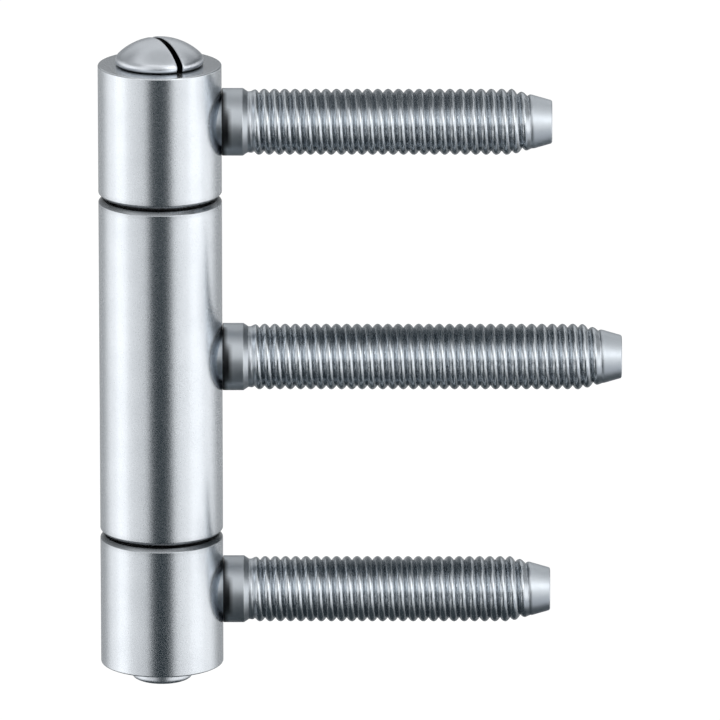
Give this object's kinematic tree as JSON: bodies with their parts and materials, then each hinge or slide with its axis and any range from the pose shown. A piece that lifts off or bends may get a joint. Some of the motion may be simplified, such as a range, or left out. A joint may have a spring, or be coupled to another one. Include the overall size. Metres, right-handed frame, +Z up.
{
  "type": "drill-in hinge",
  "caption": "Round-barrel drill-in door hinge: two frame knuckles and a leaf knuckle turn on a slotted, domed loose pin, and each knuckle has a threaded stud that screws into the frame or the door.",
  "frame": {"origin": "on the swing axis, at the height of the leaf stud", "axes": "+Z up along the swing axis towards the pin's slotted head, +X along the studs away from the barrel"},
  "size_m": [0.0636, 0.015, 0.081],
  "materials": {
    "barrel": "satin nickel-look plating",
    "stud": "bright zinc-look plating over a rolled thread",
    "pin": "satin nickel-look plating",
    "bush": "dark bearing plastic"
  },
  "bodies": {
    "lower_frame": {"lower_frame_knuckle": "barrel", "lower_frame_stud": "stud"},
    "leaf": {"leaf_knuckle": "barrel", "leaf_stud": "stud", "upper_bush": "bush", "lower_bush": "bush"},
    "upper_frame": {"upper_frame_knuckle": "barrel", "upper_frame_stud": "stud"},
    "pin": {"hinge_pin": "pin"}
  },
  "joints": [
    {"name": "leaf_swing", "type": "hinge", "parent": "lower_frame", "child": "leaf", "pos_m": [0, 0, 0], "axis": [0, 0, 1], "continuous": true},
    {"name": "upper_frame_swing", "type": "hinge", "parent": "lower_frame", "child": "upper_frame", "pos_m": [0, 0, 0.02945], "axis": [0, 0, 1], "continuous": true},
    {"name": "pin_withdraw", "type": "slide", "parent": "upper_frame", "child": "pin", "axis": [0, 0, 1], "range_m": [0, 0.082]}
  ]
}
